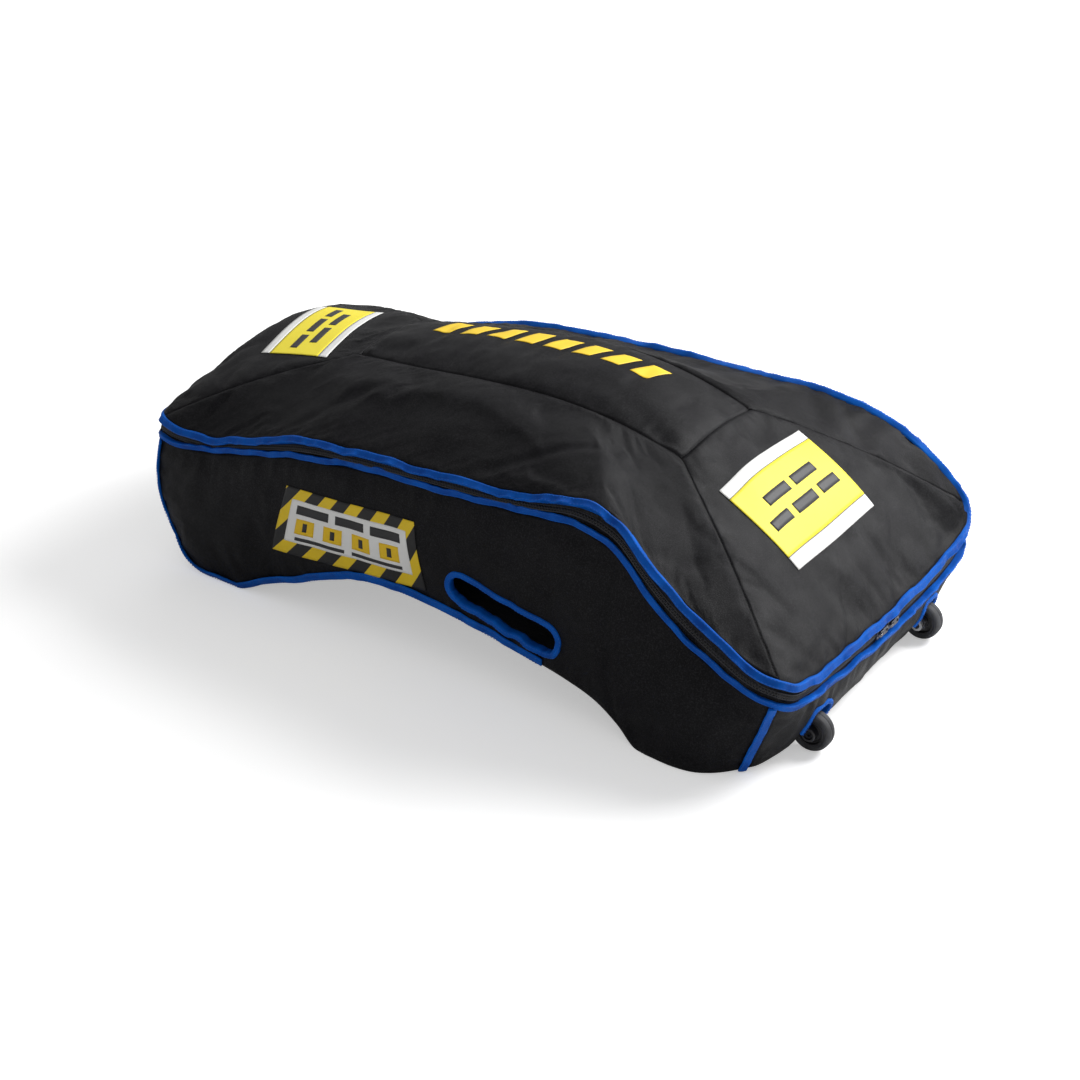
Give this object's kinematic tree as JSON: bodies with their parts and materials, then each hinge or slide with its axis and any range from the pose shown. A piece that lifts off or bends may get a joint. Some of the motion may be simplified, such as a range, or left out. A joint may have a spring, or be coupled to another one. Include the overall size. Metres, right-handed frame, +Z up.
{
  "type": "wheeled travel case",
  "caption": "Padded fabric travel case with an arched body on two feet, a zip-on hipped lid, bound edges, side hand slots and small wheels at one end.",
  "frame": {"origin": "middle of the case's footprint, on the floor", "axes": "+X to the wheel end, -Y the case's right side, +Z up"},
  "size_m": [0.9968, 0.5548, 0.3407],
  "materials": {
    "padded_fabric": "matt charcoal-black woven polyester over foam padding",
    "blue_binding": "royal-blue grosgrain binding tape with a stitched edge",
    "webbing": "black woven tape and webbing",
    "zip_coil": "black nylon coil",
    "slider_metal": "black-coated cast metal, worn bright at the edges",
    "printed_label": "flat printed yellow and white panel",
    "board": "black plastic stiffening sheet",
    "wheel_plastic": "moulded black nylon",
    "tyre": "dark grey rubber with a scuffed tread",
    "steel": "zinc-plated steel"
  },
  "bodies": {
    "tub": {"axle_bolt_left": "steel", "axle_bolt_right": "steel", "axle_nut_left": "steel", "axle_nut_right": "steel", "bracket_screw_lower_left": "steel", "bracket_screw_lower_right": "steel", "bracket_screw_upper_left": "steel", "bracket_screw_upper_right": "steel", "far_corner_binding_left": "blue_binding", "far_corner_binding_right": "blue_binding", "far_end_board": "board", "grab_handle": "webbing", "hand_slot_binding_left": "blue_binding", "hand_slot_binding_right": "blue_binding", "lid_hinge_strip": "webbing", "lower_edge_binding_left": "blue_binding", "lower_edge_binding_right": "blue_binding", "side_label": "printed_label", "tub_base_panel": "padded_fabric", "tub_binding": "blue_binding", "tub_far_end_panel": "padded_fabric", "tub_left_panel": "padded_fabric", "tub_right_panel": "padded_fabric", "tub_wheel_end_panel": "padded_fabric", "tub_zip_coil": "zip_coil", "tub_zip_tape": "webbing", "wheel_bracket_left": "wheel_plastic", "wheel_bracket_right": "wheel_plastic", "wheel_corner_binding_left": "blue_binding", "wheel_corner_binding_right": "blue_binding", "wheel_cutout_binding_left": "blue_binding", "wheel_cutout_binding_right": "blue_binding", "wheel_end_board": "board"},
    "lid": {"far_end_label": "printed_label", "lid_binding": "blue_binding", "lid_far_end_panel": "padded_fabric", "lid_left_panel": "padded_fabric", "lid_right_panel": "padded_fabric", "lid_top_panel": "padded_fabric", "lid_wheel_end_panel": "padded_fabric", "lid_zip_coil": "zip_coil", "lid_zip_tape": "webbing", "wheel_end_label": "printed_label"},
    "zip_slider_right": {"zip_slider_right": "slider_metal"},
    "zip_pull_right": {"zip_pull_right": "slider_metal"},
    "wheel_right": {"wheel_tyre_right": "tyre", "wheel_hub_right": "wheel_plastic", "wheel_bush_right": "wheel_plastic"},
    "zip_slider_left": {"zip_slider_left": "slider_metal"},
    "zip_pull_left": {"zip_pull_left": "slider_metal"},
    "wheel_left": {"wheel_tyre_left": "tyre", "wheel_hub_left": "wheel_plastic", "wheel_bush_left": "wheel_plastic"}
  },
  "joints": [
    {"name": "lid_hinge", "type": "hinge", "parent": "tub", "child": "lid", "pos_m": [-0.481, 0, 0.198], "axis": [0, -1, 0], "range_deg": [0, 150]},
    {"name": "wheel_right_spin", "type": "hinge", "parent": "tub", "child": "wheel_right", "pos_m": [0.4734, -0.153, 0.0265], "axis": [0, 1, 0], "continuous": true},
    {"name": "wheel_left_spin", "type": "hinge", "parent": "tub", "child": "wheel_left", "pos_m": [0.4734, 0.153, 0.0265], "axis": [0, 1, 0], "continuous": true},
    {"name": "slider_right_slide", "type": "slide", "parent": "tub", "child": "zip_slider_right", "axis": [-0.0046, -0.9983, 0.0576], "range_m": [0, 0.13]},
    {"name": "pull_right_turn", "type": "hinge", "parent": "zip_slider_right", "child": "zip_pull_right", "pos_m": [0.48859, -0.015, 0.09141], "axis": [0, 0, -1], "range_deg": [0, 170]},
    {"name": "slider_left_slide", "type": "slide", "parent": "tub", "child": "zip_slider_left", "axis": [-0.0015, 0.9997, 0.0246], "range_m": [0, 0.13]},
    {"name": "pull_left_turn", "type": "hinge", "parent": "zip_slider_left", "child": "zip_pull_left", "pos_m": [0.48856, 0.015, 0.09024], "axis": [0, 0, -1], "range_deg": [0, 170]}
  ]
}
